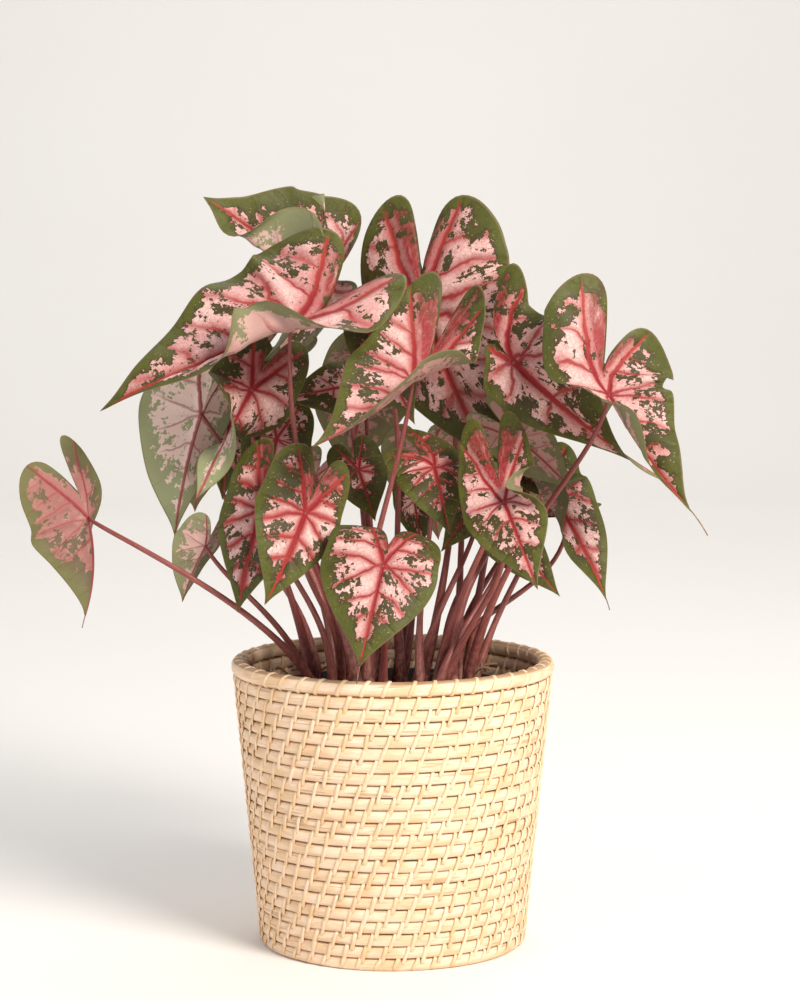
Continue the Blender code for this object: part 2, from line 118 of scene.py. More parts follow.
class Finish:
    """A material, with one method that adds any node to it."""

    def __init__(self, name, **constants):
        self.material = bpy.data.materials.new(name)
        self.material.use_nodes = True
        self.tree = self.material.node_tree
        self.shader = self.tree.nodes["Principled BSDF"]
        for socket, value in constants.items():
            self.shader.inputs[socket.replace("_", " ")].default_value = value

    def node(self, kind, settings, inputs, output=0):
        node = self.tree.nodes.new(kind)
        for key, value in settings.items():
            setattr(node, key, value)
        for key, value in inputs.items():
            if isinstance(value, Wire):
                self.tree.links.new(value.socket, node.inputs[key])
            elif isinstance(value, tuple) and len(value) == 3 and node.inputs[key].type == "RGBA":
                node.inputs[key].default_value = (*value, 1)
            else:
                node.inputs[key].default_value = value
        return Wire(self, node.outputs[output])

    def attribute(self, name):
        return self.node("ShaderNodeAttribute", dict(attribute_name=name), {}, "Vector")

    def place(self):
        return self.node("ShaderNodeTexCoord", {}, {}, "Object")

    def part(self, vector, axis):
        return self.node("ShaderNodeSeparateXYZ", {}, {0: vector}, axis)

    def stretched(self, vector, scale):
        return self.node("ShaderNodeVectorMath", dict(operation="MULTIPLY"), {0: vector, 1: scale})

    def noise(self, vector, scale, detail):
        return self.node("ShaderNodeTexNoise", {}, {"Vector": vector, "Scale": scale, "Detail": detail,
                                                   "Roughness": 0.55})

    def cells(self, vector, scale, feature="F1", output="Distance"):
        return self.node("ShaderNodeTexVoronoi", dict(feature=feature), {"Vector": vector, "Scale": scale},
                         output)

    def mix(self, share, first, second):
        return self.node("ShaderNodeMix", dict(data_type="RGBA"), {0: share, 6: first, 7: second}, 2)

    def bump(self, height, strength, distance):
        return self.node("ShaderNodeBump", {}, {"Strength": strength, "Distance": distance, "Height": height})

    def wear(self, **sockets):
        """Link the wires to the shader's sockets."""
        for socket, wire in sockets.items():
            self.tree.links.new(wire.socket, self.shader.inputs[socket.replace("_", " ")])
        return self.material


def new_object(name, data):
    """An object that shows the mesh, lamp or camera data, linked into the scene."""
    made = bpy.data.objects.new(name, data)
    bpy.context.collection.objects.link(made)
    return made


def smooth_mesh(name, points, faces, looks, slots=None, fields=None):
    """A smooth mesh object of points and faces, with vector fields on its points for the finish to read."""
    mesh = bpy.data.meshes.new(name)
    mesh.from_pydata(np.asarray(points).tolist(), [], faces)
    mesh.polygons.foreach_set("use_smooth", np.ones(len(mesh.polygons), bool))
    for look in looks:
        mesh.materials.append(look)
    if slots is not None:
        mesh.polygons.foreach_set("material_index", slots)
    for key, values in (fields or {}).items():
        mesh.attributes.new(key, "FLOAT_VECTOR", "POINT").data.foreach_set("vector", np.ravel(values))
    mesh.update()
    return new_object(name, mesh)


def new_piece(name, points, faces, looks, slots=None, fields=None):
    """A smooth mesh object that rides on the part's one body."""
    piece = smooth_mesh(name, points, faces, looks, slots, fields)
    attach(piece, "root")
    return piece


def ring_faces(rows, count, closed=True, offset=0):
    """Quads between rows of points that each go once round."""
    a = np.arange(rows if closed else rows - 1)[:, None] * count + np.arange(count)
    b = np.roll(a, -1, axis=1)
    c, d = (b + count) % (rows * count), (a + count) % (rows * count)
    return (np.stack([a, b, c, d], axis=-1).reshape(-1, 4) + offset).tolist()


def gather(name, parts, look):
    """One piece of many parts, each with its points, its fibre places and its faces."""
    points, fibres, faces, total = [], [], [], 0
    for part_points, part_fibres, part_faces in parts:
        points.append(part_points)
        fibres.append(part_fibres)
        faces += [[v + total for v in face] for face in part_faces]
        total += len(part_points)
    return new_piece(name, np.vstack(points), faces, [look], fields=dict(fibre=np.vstack(fibres)))


def cane_ring(radius, level, deep, tall, around, sides, square=0.5, number=0):
    """One row of cane: a ring that wavers a little, with a rounded, nearly square section."""
    turn = np.linspace(0, 2 * np.pi, around, endpoint=False)
    waver = np.zeros((2, around))
    for wave in range(2, 9):
        size = random.normal(0, CANE_DRIFT / wave**0.7, (2, 1))
        waver += size * np.sin(wave * turn + random.uniform(0, 6.3, (2, 1)))
    section = np.linspace(0, 2 * np.pi, sides, endpoint=False)
    out = np.sign(np.cos(section)) * np.abs(np.cos(section)) ** square * deep / 2
    up = np.sign(np.sin(section)) * np.abs(np.sin(section)) ** square * tall / 2
    r = radius + waver[0][:, None] + out
    z = level + 0.5 * waver[1][:, None] + up
    points = np.stack([r * np.cos(turn)[:, None], r * np.sin(turn)[:, None], z], axis=-1)
    fibre = np.stack(np.broadcast_arrays(turn[:, None] * radius, up, out + 0.02 * number), axis=-1)
    return points.reshape(-1, 3), fibre.reshape(-1, 3), ring_faces(around, sides)


cane = Finish("cane", Roughness=0.5)
fibre = cane.attribute("fibre")
tone = cane.noise(cane.stretched(fibre, (1, 3, 1)), 45, 2)
streak = cane.noise(cane.stretched(fibre, (1, 22, 6)), 60, 4)
split = cane.noise(cane.stretched(fibre, (1, 14, 1)), 25, 1)
# painted shade: how far above or below the middle of its row each point of the cane lies
painted_groove_shade = abs(cane.part(fibre, 1)) * 1000
skin = cane.mix(tone.step(0.35, 0.68), (0.92, 0.69, 0.50), (0.81, 0.54, 0.32))
skin = cane.mix(streak.step(0.48, 0.72) * 0.6, skin, (0.60, 0.40, 0.19))
skin = cane.mix(split.step(0.66, 0.69) * 0.5, skin, (0.42, 0.24, 0.10))
# painted shade: the top and bottom edges of each row, where it meets the next, darkened for the shade in the
# groove
skin = cane.mix(painted_groove_shade.step(3.2, 4.2) * 0.7, skin, (0.34, 0.18, 0.07))
cane_look = cane.wear(Base_Color=skin, Roughness=0.42 + streak * 0.3,
                      Normal=cane.bump(streak * 0.6 - split.step(0.66, 0.69) * 0.5, 0.5, 0.0006))

rows = []
for row in range(COIL_ROWS):
    level = (row + 0.5) * ROW
    rows.append(cane_ring(FOOT_RADIUS + FLARE * level - CANE_DEPTH / 2, level, CANE_DEPTH, CANE_HEIGHT,
                          around=150, sides=12, number=row))
coils = gather("basket_coils", rows, cane_look)
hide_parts("basket")

rows = [cane_ring(RIM_MIDDLE, RIM_LEVEL, RIM_COIL, RIM_COIL, around=180, sides=14, square=0.8)]
rim = gather("basket_rim", rows, cane_look)

rows = []
for row in range(FOOT_COILS):
    rows.append(cane_ring(FOOT_HOLE_RADIUS + row * FOOT_CANE_WIDTH, FOOT_CANE_LEVEL, FOOT_CANE_WIDTH,
                          FOOT_CANE_HEIGHT, around=96, sides=8, number=row))
foot = gather("basket_foot", rows, cane_look)

# The basket's stitches: flat split cane that binds each row to the one below it, a little aslant. Each row's
# stitches stand about a third of a step round from those of the row below. More loops wrap the rim.
STITCHES = 45
STITCH_STEP = 0.37
STITCH_STRAY = 0.07
STITCH_WIDTH = 2.8 * MM
STITCH_THICK = 0.9 * MM
STITCH_LIFT = 0.15 * MM
STITCH_HUMP = 0.55 * MM
STITCH_TUCK = 1.9 * MM
STITCH_LEAN = 4.2 * MM
LEAN_STRAY = 0.6 * MM
STITCH_TOP = 1.12
STITCH_LOW = 0.50
LOWEST_STITCH = 0.8 * MM
STITCH_POINTS = 8
INNER_ROWS = 4
LOOP_POINTS = 13
LOOP_LIFT = 0.35 * MM
LOOP_LEAN = 4.5 * MM

binder = Finish("binder_cane", Roughness=0.4)
fibre = binder.attribute("fibre")
tone = binder.noise(binder.stretched(fibre, (0.25, 0.25, 1)), 55, 2)
streak = binder.noise(binder.stretched(fibre, (1, 16, 1)), 90, 3)
skin = binder.mix(tone.step(0.38, 0.66), (0.92, 0.69, 0.48), (0.80, 0.53, 0.28))
skin = binder.mix(streak.step(0.5, 0.75) * 0.45, skin, (0.60, 0.38, 0.17))
binder_look = binder.wear(Base_Color=skin, Roughness=0.32 + streak * 0.3,
                          Normal=binder.bump(streak, 0.35, 0.0004))


def way_along(line):
    """How far along the line each of its points lies."""
    return np.concatenate([[0], np.cumsum(np.linalg.norm(np.diff(line, axis=0), axis=1))])


def tube_faces(rows, count):
    """Quads between open rows of points, and a cap at each end."""
    last = (rows - 1) * count
    caps = [list(range(count))[::-1], list(range(last, last + count))]
    return ring_faces(rows, count, closed=False) + caps


def strip(line, outward, width, thick, seed):
    """A flat strip along a line, with rounded edges: six points round its section."""
    run = np.gradient(line, axis=0)
    run /= np.linalg.norm(run, axis=1)[:, None]
    beside = np.cross(run, outward)
    beside /= np.linalg.norm(beside, axis=1)[:, None]
    normal = np.cross(beside, run)
    section = np.array([(-1, -0.3), (-0.8, 0.35), (0, 0.5), (0.8, 0.35), (1, -0.3), (0, -0.6)])
    points = (line[:, None] + section[None, :, :1] * beside[:, None] * width / 2
              + section[None, :, 1:] * normal[:, None] * thick)
    fibre = np.broadcast_arrays(way_along(line)[:, None], section[:, 0] * width / 2, np.array(seed))
    return points.reshape(-1, 3), np.stack(fibre, axis=-1).reshape(-1, 3), tube_faces(len(line), len(section))


def around_basket(turn, r, z):
    return np.column_stack([r * np.cos(turn), r * np.sin(turn), z])


outside, inside = [], []
for row in range(COIL_ROWS):
    start = row * STITCH_STEP * 2 * np.pi / STITCHES
    for k in range(STITCHES):
        middle = start + 2 * np.pi * (k + random.normal(0, STITCH_STRAY)) / STITCHES
        u = np.linspace(0, 1, STITCH_POINTS)
        top, low = (row + STITCH_TOP) * ROW, max((row - STITCH_LOW) * ROW, LOWEST_STITCH)
        z = top + (low - top) * u
        hump = STITCH_HUMP * np.abs(np.sin(np.pi * (z / ROW)))
        tuck = STITCH_TUCK * (np.exp(-(u / 0.1) ** 2) + np.exp(-((1 - u) / 0.1) ** 2))
        lean = (STITCH_LEAN + random.normal(0, LEAN_STRAY)) / FOOT_RADIUS
        seed = random.uniform(0, 50)
        turn = middle + lean * (0.5 - u)
        line = around_basket(turn, FOOT_RADIUS + FLARE * z + STITCH_LIFT + hump - tuck, z)
        width = STITCH_WIDTH * random.uniform(0.85, 1.15)
        outside.append(strip(line, around_basket(turn, 1, 0 * z), width, STITCH_THICK, seed))
        if row >= COIL_ROWS - INNER_ROWS:
            turn = middle - lean * (0.5 - u)
            line = around_basket(turn, FOOT_RADIUS + FLARE * z - CANE_DEPTH - STITCH_LIFT - hump + tuck, z)
            inside.append(strip(line, around_basket(turn, -1, 0 * z), STITCH_WIDTH, STITCH_THICK, seed))
gather("basket_stitches", outside, binder_look)
gather("basket_inner_stitches", inside, binder_look)

loops = []
reach = RIM_COIL / 2 + LOOP_LIFT
for k in range(STITCHES):
    middle = 2 * np.pi * (k + 0.5 + random.normal(0, STITCH_STRAY)) / STITCHES
    angle = np.radians(np.linspace(255, -75, LOOP_POINTS))
    turn = middle + LOOP_LEAN / RIM_RADIUS * (np.sin(angle) * 0.5 - 0.2 * np.cos(angle))
    line = around_basket(turn, RIM_MIDDLE + reach * np.cos(angle), RIM_LEVEL + reach * np.sin(angle))
    outward = around_basket(turn, np.cos(angle), np.sin(angle))
    loops.append(strip(line, outward, STITCH_WIDTH, STITCH_THICK, random.uniform(0, 50)))
gather("basket_rim_loops", loops, binder_look)

# The nursery pot: one thin wall of black plastic, moulded in one piece with its turned-out lip. It stands
# loose in the basket, a little scuffed and dusty with dry soil.
POT_RIM_RADIUS = 88 * MM
POT_FOOT_RADIUS = 66 * MM
POT_TOP = 174 * MM
POT_LOW = 6.3 * MM
POT_WALL = 1.4 * MM
LIP_OUT = 2.2 * MM
LIP_TALL = 8.4 * MM

plastic = Finish("black_plastic", Roughness=0.45)
place = plastic.place()
scuff = plastic.noise(place, 140, 4)
dust = plastic.noise(place, 40, 5)
plastic_look = plastic.wear(
    Base_Color=plastic.mix(dust.step(0.45, 0.75) * 0.5, (0.012, 0.012, 0.013), (0.06, 0.048, 0.036)),
    Roughness=0.35 + scuff * 0.35, Normal=plastic.bump(scuff, 0.15, 0.0004))
section = [
    (0, POT_LOW),
    (POT_FOOT_RADIUS - 2 * MM, POT_LOW),
    (POT_FOOT_RADIUS, POT_LOW + 2 * MM),
    (POT_RIM_RADIUS - 0.8 * MM, POT_TOP - LIP_TALL - 1.6 * MM),
    (POT_RIM_RADIUS + LIP_OUT - 0.6 * MM, POT_TOP - LIP_TALL - 0.6 * MM),
    (POT_RIM_RADIUS + LIP_OUT, POT_TOP - LIP_TALL),
    (POT_RIM_RADIUS + LIP_OUT, POT_TOP - 0.8 * MM),
    (POT_RIM_RADIUS + LIP_OUT - 0.6 * MM, POT_TOP),
    (POT_RIM_RADIUS - 0.8 * MM, POT_TOP),
    (POT_RIM_RADIUS - POT_WALL, POT_TOP - 0.8 * MM),
    (POT_FOOT_RADIUS - POT_WALL, POT_LOW + POT_WALL),
    (0, POT_LOW + POT_WALL),
]
for other in bpy.context.selected_objects:
    other.select_set(False)
profile = bpy.data.meshes.new("nursery_pot_shell")
profile.from_pydata([(r, 0, z) for r, z in section], [(k, k + 1) for k in range(len(section) - 1)], [])
pot = new_object("nursery_pot_shell", profile)
bpy.context.view_layer.objects.active = pot
pot.select_set(True)
turned = pot.modifiers.new("turned", "SCREW")
turned.steps = turned.render_steps = 96
turned.use_merge_vertices = True
turned.merge_threshold = 0.00005
bpy.ops.object.modifier_apply(modifier="turned")
bpy.ops.object.mode_set(mode="EDIT")
bpy.ops.mesh.select_all(action="SELECT")
bpy.ops.mesh.remove_doubles(threshold=0.00002)
bpy.ops.mesh.normals_make_consistent(inside=False)
bpy.ops.object.mode_set(mode="OBJECT")
bpy.ops.object.shade_smooth_by_angle(angle=math.radians(40))
pot.data.materials.append(plastic_look)
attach(pot, "root")
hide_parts("nursery_pot")

# The soil: dark moist peat with bark crumbs, packed into the pot round the corms and a little lower at its
# edge. Crumbs of peat and bark lie loose on it.
SOIL_TOP = 168 * MM
CRUMBS = 1500
CRUMB_FIELD = 83 * MM
HEAP_RADIUS = 67 * MM
HEAP_SLOPE = 0.24

peat = Finish("peat", Roughness=0.95)
place = peat.place()
clod = peat.cells(place, 320)
grit = peat.noise(place, 900, 3)
tint = peat.part(peat.cells(place, 150, output="Color"), 0)
earth = peat.mix(grit.step(0.35, 0.7), (0.022, 0.014, 0.010), (0.075, 0.048, 0.032))
earth = peat.mix(tint.step(0.8, 0.83) * 0.8, earth, (0.17, 0.10, 0.055))
peat_look = peat.wear(Base_Color=earth, Normal=peat.bump(clod + grit * 0.5, 0.9, 0.002))
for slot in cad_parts["soil"].material_slots:
    slot.material = peat_look

chips = []
corner = np.array([(x, y, z) for x in (-1, 1) for y in (-1, 1) for z in (-1, 1)], float)
chip_faces = [[0, 1, 3, 2], [4, 6, 7, 5], [0, 4, 5, 1], [2, 3, 7, 6], [0, 2, 6, 4], [1, 5, 7, 3]]
for k in range(CRUMBS):
    reach, turn = CRUMB_FIELD * math.sqrt(random.uniform()), random.uniform(0, 2 * np.pi)
    size = np.array([random.uniform(0.8, 2.6), random.uniform(0.6, 1.5), random.uniform(0.4, 1.0)]) * MM
    body = corner * size * random.uniform(0.55, 1.1, (8, 1))
    heading, slope = random.uniform(0, 2 * np.pi), random.normal(0, 0.35)
    cos, sin = math.cos(slope), math.sin(slope)
    body = body @ np.array([(cos, 0, -sin), (0, 1, 0), (sin, 0, cos)])
    cos, sin = math.cos(heading), math.sin(heading)
    body = body @ np.array([(cos, sin, 0), (-sin, cos, 0), (0, 0, 1)])
    level = SOIL_TOP - max(0, reach - HEAP_RADIUS) * HEAP_SLOPE + size[2] * 0.6
    chips.append(body + (reach * math.cos(turn), reach * math.sin(turn), level))
faces = [[v + 8 * k for v in face] for k in range(CRUMBS) for face in chip_faces]
crumbs = new_piece("soil_crumbs", np.vstack(chips), faces, [peat_look])
crumbs.data.polygons.foreach_set("use_smooth", np.zeros(len(faces), bool))

# The leaf blades: 36 thin heart-shaped blades of soft tissue, each grown on a stalk that joins it at the
# sinus. They are pink between crimson veins, splashed with dark green that closes up into an olive margin,
# and dusty pink and sage beneath. Lengths without a unit are shares of the midrib's length.
BLADE_THICKNESS = 0.45 * MM
ROLL_WIDTH = 0.09
LOBE_ROOT = 0.35
LOBE_LENGTH = 0.75
CURL_WIDTH = 0.45
SWELL = 0.012
VEIN_VALLEY = 0.035
HALF_OUTLINE = (
    (1.00, 0.000), (0.90, 0.038), (0.74, 0.130), (0.53, 0.255), (0.30, 0.360), (0.08, 0.410),
    (-0.14, 0.400), (-0.34, 0.395), (-0.53, 0.365), (-0.68, 0.285), (-0.73, 0.185), (-0.66, 0.100),
    (-0.47, 0.040), (-0.26, 0.000),
)


def pair(value):
    """The value for the plus side and for the minus side."""
    return np.array(value if isinstance(value, tuple) else (value, value), float)


def arc(reach, start, rate):
    """Across and up after a way of reach along an arc that starts at an angle and turns at a rate."""
    rate = np.where(np.abs(rate) < 1e-6, 1e-6, rate)
    end = start + rate * reach
    return (np.sin(end) - np.sin(start)) / rate, (np.cos(start) - np.cos(end)) / rate


def smooth_line(points, count):
    """A curve through the points, as count points evenly spaced along it."""
    p = np.asarray(points, float)
    p = np.vstack([2 * p[0] - p[1], p, 2 * p[-1] - p[-2]])
    u = np.linspace(0, 1, 24, endpoint=False)[:, None]
    spans = []
    for a, b, c, d in zip(p, p[1:], p[2:], p[3:]):
        spans.append(b + 0.5 * u * (c - a + u * (2 * a - 5 * b + 4 * c - d + u * (3 * b - a - 3 * c + d))))
    line = np.vstack(spans + [p[-2:-1]])
    reach = way_along(line)
    even = np.linspace(0, reach[-1], count)
    return np.column_stack([np.interp(even, reach, line[:, k]) for k in range(2)])


class Leaf:
    """One leaf: how its blade is placed, folded, curled, rolled and bent, and how its stalk rises."""

    def __init__(self, name, corm, spot, at, tip, face=(0, -1, 0.3), width=1, lobe=1, spread=1, bend=20,
                 lobe_bend=15, fold=5, curl=-20, lobe_fold=None, lobe_curl=None, twist=0, sway=0, lobe_sway=0,
                 wave=0.02, waves=5, phase=0.0, rolls=(), rise=0.45, reach=0.35, under=0.65, small=False):
        self.name, self.corm, self.spot, self.small = name, corm, spot, small
        self.at = np.array(at, float) * MM
        chord = np.array(tip, float) * MM - self.at
        straight = np.linalg.norm(chord)
        chord = chord / straight
        look = np.array(face, float)
        look = look - look.dot(chord) * chord
        look = look / np.linalg.norm(look)
        half_bend, half_sway = math.radians(bend) / 2, math.radians(sway) / 2
        along = chord * math.cos(half_bend) + look * math.sin(half_bend)
        self.up = look * math.cos(half_bend) - chord * math.sin(half_bend)
        self.along = along * math.cos(half_sway) - np.cross(self.up, along) * math.sin(half_sway)
        self.side = np.cross(self.up, self.along)
        self.length = straight / (np.sinc(half_bend / math.pi) * np.sinc(half_sway / math.pi))
        self.width, self.lobe, self.spread = pair(width), pair(lobe), pair(spread)
        self.bend, self.lobe_bend = math.radians(bend), math.radians(lobe_bend)
        self.sway, self.lobe_sway = math.radians(sway), math.radians(lobe_sway)
        self.twist = math.radians(twist)
        self.fold, self.curl = np.radians(pair(fold)), np.radians(pair(curl))
        self.lobe_fold = self.fold if lobe_fold is None else np.radians(pair(lobe_fold))
        self.lobe_curl = self.curl if lobe_curl is None else np.radians(pair(lobe_curl))
        self.wave, self.waves, self.phase, self.rolls = wave, waves, phase, rolls
        self.rise, self.reach, self.under = rise, reach, under

    def outline(self, count):
        """The flat outline from the tip round the plus side to the sinus and back round the minus side."""
        halves = []
        for side in (0, 1):
            half = smooth_line(HALF_OUTLINE, count)
            spread = 1 + (self.spread[side] - 1) * np.clip(-half[:, 0] / 0.4, 0, 1)
            half[:, 1] *= self.width[side] * spread
            half[half[:, 0] < 0, 0] *= self.lobe[side]
            halves.append(half)
        sinus = (halves[0][-1] + halves[1][-1]) / 2
        return np.vstack([halves[0][:-1], sinus, halves[1][-2:0:-1] * (1, -1)])

    def section(self, s, t):
        """Across and up of flat points, from the folds, curls and rolls of the blade's two sides."""
        side, reach = np.where(t >= 0, 0, 1), np.abs(t)
        body = np.clip(0.5 + s / 0.5, 0, 1)
        body = body * body * (3 - 2 * body)
        angle = self.lobe_fold[side] + (self.fold[side] - self.lobe_fold[side]) * body
        curl = (self.lobe_curl[side] + (self.curl[side] - self.lobe_curl[side]) * body) / CURL_WIDTH
        start, turn = np.full(len(s), 1.0), np.zeros(len(s))
        for roll_side, centre, spread, begins, degrees in self.rolls:
            here = side == (0 if roll_side > 0 else 1)
            turn = turn + here * math.radians(degrees) * np.exp(-((s - centre) / spread) ** 2)
            start = np.where(here, begins, start)
        rolled = curl + turn / ROLL_WIDTH
        y, z = 0, 0
        for begins, ends, rate in ((0, start, curl), (start, start + ROLL_WIDTH, rolled),
                                   (start + ROLL_WIDTH, 2, curl)):
            step = np.clip(reach, begins, ends) - begins
            across, up = arc(step, angle, rate)
            y, z, angle = y + across, z + up, angle + rate * step
        return np.where(side == 0, y, -y), z

    def bent(self, flat, share):
        """Points in space of flat points, each at its share of the way out to the edge."""
        s, t = flat[:, 0], flat[:, 1]
        y, z = self.section(s, t)
        ripple = self.wave * np.sin(self.waves * np.arctan2(t, s) + self.phase) * share**2
        z = z + ripple * np.clip((1 - s) * 4, 0, 1)
        turn = self.twist * np.clip(s, 0, 1)
        y, z = y * np.cos(turn) - z * np.sin(turn), y * np.sin(turn) + z * np.cos(turn)
        back = np.sign(s)
        rate = np.where(s > 0, self.sway, self.lobe_sway / LOBE_ROOT)
        curved = np.where(s > 0, s, np.minimum(-s, LOBE_ROOT))
        angle = rate * curved
        across, inward = arc(curved, 0, rate)
        straight = np.abs(s) - curved
        across, inward = across + straight * np.cos(angle), inward + straight * np.sin(angle)
        x, y = back * (across - y * np.sin(angle)), inward + y * np.cos(angle)
        back = np.sign(x)
        rate = np.where(x > 0, self.bend, self.lobe_bend / LOBE_LENGTH)
        angle = rate * np.abs(x)
        out, drop = arc(np.abs(x), 0, rate)
        x, z = back * (out + z * np.sin(angle)), z * np.cos(angle) - drop
        place = np.outer(x, self.along) + np.outer(y, self.side) + np.outer(z, self.up)
        return self.at + self.length * place


# Each leaf: its name, its corm, the stalk's place round the corm in sixths of a turn, where the stalk joins
# the blade and where the tip hangs, both in millimetres, and what differs from the usual leaf. Angles are in
# degrees. A pair is for the plus and minus side. Plus is left if the tip points up and the upper face shows.
leaves = [
    Leaf("back_centre", "centre", 0, (23, 35, 433), (77, 24, 324), face=(-0.5, -0.8, 0.3), width=(1.3, 1.0),
         lobe=(0.88, 1.0), bend=40, lobe_bend=10, sway=10, lobe_sway=15, wave=0.03, phase=1.0),
    Leaf("front_centre", "front_centre", 2, (14, -60, 390), (-51, -120, 349), face=(0.1, -0.7, 0.7),
         width=(1.05, 1.1), lobe=(1.2, 1.22), spread=0.85, lobe_bend=-42, fold=(60, 10), lobe_fold=(25, 10),
         curl=(40, -20), lobe_curl=(20, -10), sway=-30, lobe_sway=-10, wave=0.03),
    Leaf("upper_left", "front_centre", 3, (-68, -30, 425), (-193, -60, 369), face=(-0.2, -0.85, 0.45),
         width=(0.85, 1.1), lobe=(0.75, 0.85), spread=(1, 1.15), fold=(60, 0), lobe_fold=(30, 0),
         curl=(-10, -20), rolls=((1, 0.2, 0.14, 0.12, 140),), sway=-10, lobe_sway=-25, wave=0.04, waves=7,
         phase=2.0),
    Leaf("top_left", "left", 1.5, (-57, 84, 460), (-131, 38, 511), face=(0.2, -0.8, 0.4), width=(1.75, 1.5),
         lobe=(0.7, 0.95), spread=(0.7, 1), lobe_fold=(-20, 5), rolls=((1, 0.5, 0.25, 0.08, 165),),
         sway=-15, lobe_sway=-45, wave=0.05, waves=7, phase=1.0),
    Leaf("shaded_centre", "centre", 2, (-7, 0, 408), (15, -15, 357), face=(-0.3, -1, 0.2), small=True),
    Leaf("twisted_left", "front_left", 1, (-96, 0, 380), (-133, -35, 306), face=(0.1, -1, 0.2), twist=-230,
         width=0.85, lobe=0.8),
    Leaf("hanging_left", "front_left", 2.5, (-133, 35, 361), (-152, 30, 276), under=0.3,
         face=(-0.55, 0.8, 0.2), width=(1.2, 1), fold=33),
    Leaf("far_left", "front_left", 4, (-206, -20, 294), (-207, -30, 228), rise=0.3, under=0.1,
         face=(-0.45, 0.85, 0.1), width=(1.6, 0.9), lobe=(1.1, 1.15), lobe_bend=0, fold=(10, 80),
         lobe_fold=(5, 40), sway=40, lobe_sway=15),
    Leaf("small_left", "front_left", 3, (-126, -30, 276), (-142, -30, 238), under=0.3,
         face=(-0.6, 0.7, 0.2), width=1.3, lobe=(0.7, 1), fold=40, lobe_bend=-20, small=True),
    Leaf("middle_left", "left", 4, (-81, 40, 343), (-93, 30, 285), face=(0, -1, 0.1), lobe=0.7, small=True),
    Leaf("low_left", "front_left", 5, (-87, -50, 303), (-103, -60, 235), face=(-0.3, -1, 0.1)),
    Leaf("front_left", "front_left", 0, (-57, -72, 303), (-83, -97, 245), face=(0.35, -0.9, 0.3),
         width=(0.9, 1.2), bend=40, lobe_bend=0),
    Leaf("deep_centre", "left", 5, (-24, 34, 322), (-12, 16, 288), width=1.2, small=True),
    Leaf("middle_centre", "front_right", 2, (28, -25, 329), (38, -50, 286), face=(0.1, -1, 0.3),
         width=(1, 1.3), lobe_sway=-45),
    Leaf("front_right", "front_right", 0, (73, -80, 311), (93, -125, 259), face=(-0.1, -1, 0.3),
         width=(0.95, 1.0), lobe=1.35, spread=0.9, lobe_bend=-15, rolls=((1, 0, 0.25, 0.15, 150),),
         lobe_sway=12),
    Leaf("front_low", "front_centre", 5, (-6, -105, 272), (-21, -128, 209), face=(0, -1, 0.35),
         width=(1.3, 1.45), lobe_bend=75),
    Leaf("upper_right", "right", 1, (81, -25, 400), (187, -35, 317), face=(0.1, -1, 0.3), width=(0.85, 0.5),
         lobe=(0.75, 0.2), spread=(0.6, 0.5), fold=(20, 5), twist=115, sway=20, lobe_sway=48),
    Leaf("far_right", "right", 5, (141, -80, 381), (191, -115, 308), reach=0.25, under=0.3,
         face=(0.3, -1, 0.3), width=(1, 0.8), lobe=(0.85, 1.2), spread=(1.3, 1.6), lobe_bend=-20,
         fold=(10, 70), lobe_fold=(0, 10), rolls=((-1, 0.5, 0.3, 0.12, 70),), sway=25, lobe_sway=38,
         wave=0.05, waves=7),
    Leaf("low_right", "right", 0, (109, 10, 307), (146, -10, 237), face=(0.5, -0.7, 0.2), lobe_sway=40,
         lobe=0.8, fold=20, width=0.9, rolls=((-1, 0, 0.35, 0.12, 140),)),
    Leaf("turned_right", "front_right", 1, (86, -6, 347), (123, -14, 312), face=(0, 1, 0.3), small=True),
    Leaf("tip_right", "front_right", 5, (77, -8, 282), (114, -18, 240), width=0.8, lobe=0.4, small=True),
    Leaf("low_centre", "centre", 5, (60, 12, 304), (33, 12, 267), width=0.9, lobe=0.7, small=True),
    Leaf("inner_back", "back", 0, (15, 60, 299), (20, 50, 264), small=True),
    Leaf("inner_right", "right", 2, (94, 30, 321), (109, 20, 302), small=True),
    Leaf("level_right", "right", 3, (122, 35, 297), (94, 30, 285), face=(0, -0.3, 1), small=True),
    Leaf("pale_left", "left", 2.2, (-88, 64, 364), (-95, 58, 324), small=True),
    Leaf("inner_left", "left", 0.5, (-30, 50, 380), (-80, 45, 369), reach=0.2, face=(0, -1, 0.5),
         small=True),
    Leaf("rear_left", "left", 5.5, (-114, 75, 368), (-121, 65, 298), face=(0, -1, 0.5), small=True),
    Leaf("back_upper_right", "right", 1.5, (60, 105, 420), (95, 160, 350), face=(0.3, 0.9, 0.5), lobe=0.85,
         small=True),
    Leaf("back_upper_centre", "back", 2, (-20, 130, 375), (-35, 180, 300), face=(-0.1, 0.9, 0.5),
         small=True),
    Leaf("back_upper_left", "left", 2.5, (-110, 135, 385), (-155, 170, 320), face=(-0.6, 0.8, 0.5),
         small=True),
    Leaf("back_far_right", "right", 4, (120, 75, 390), (155, 145, 345), face=(0.4, 0.6, 0.8), small=True),
    Leaf("back_low_centre", "back", 1, (24, 135, 322), (34, 178, 257), face=(0, 0.9, 0.4), lobe=0.75,
         small=True),
    Leaf("back_low_left", "back", 3, (-58, 126, 308), (-80, 168, 246), face=(-0.3, 0.9, 0.4), width=0.75,
         lobe=0.7, small=True),
    Leaf("back_low_right", "right", 2.5, (94, 112, 330), (114, 168, 275), face=(0.4, 0.9, 0.4), lobe=0.7,
         small=True),
    Leaf("back_far_left", "front_left", 2, (-135, 120, 330), (-148, 160, 280), face=(-0.6, 0.8, 0.4),
         small=True),
]

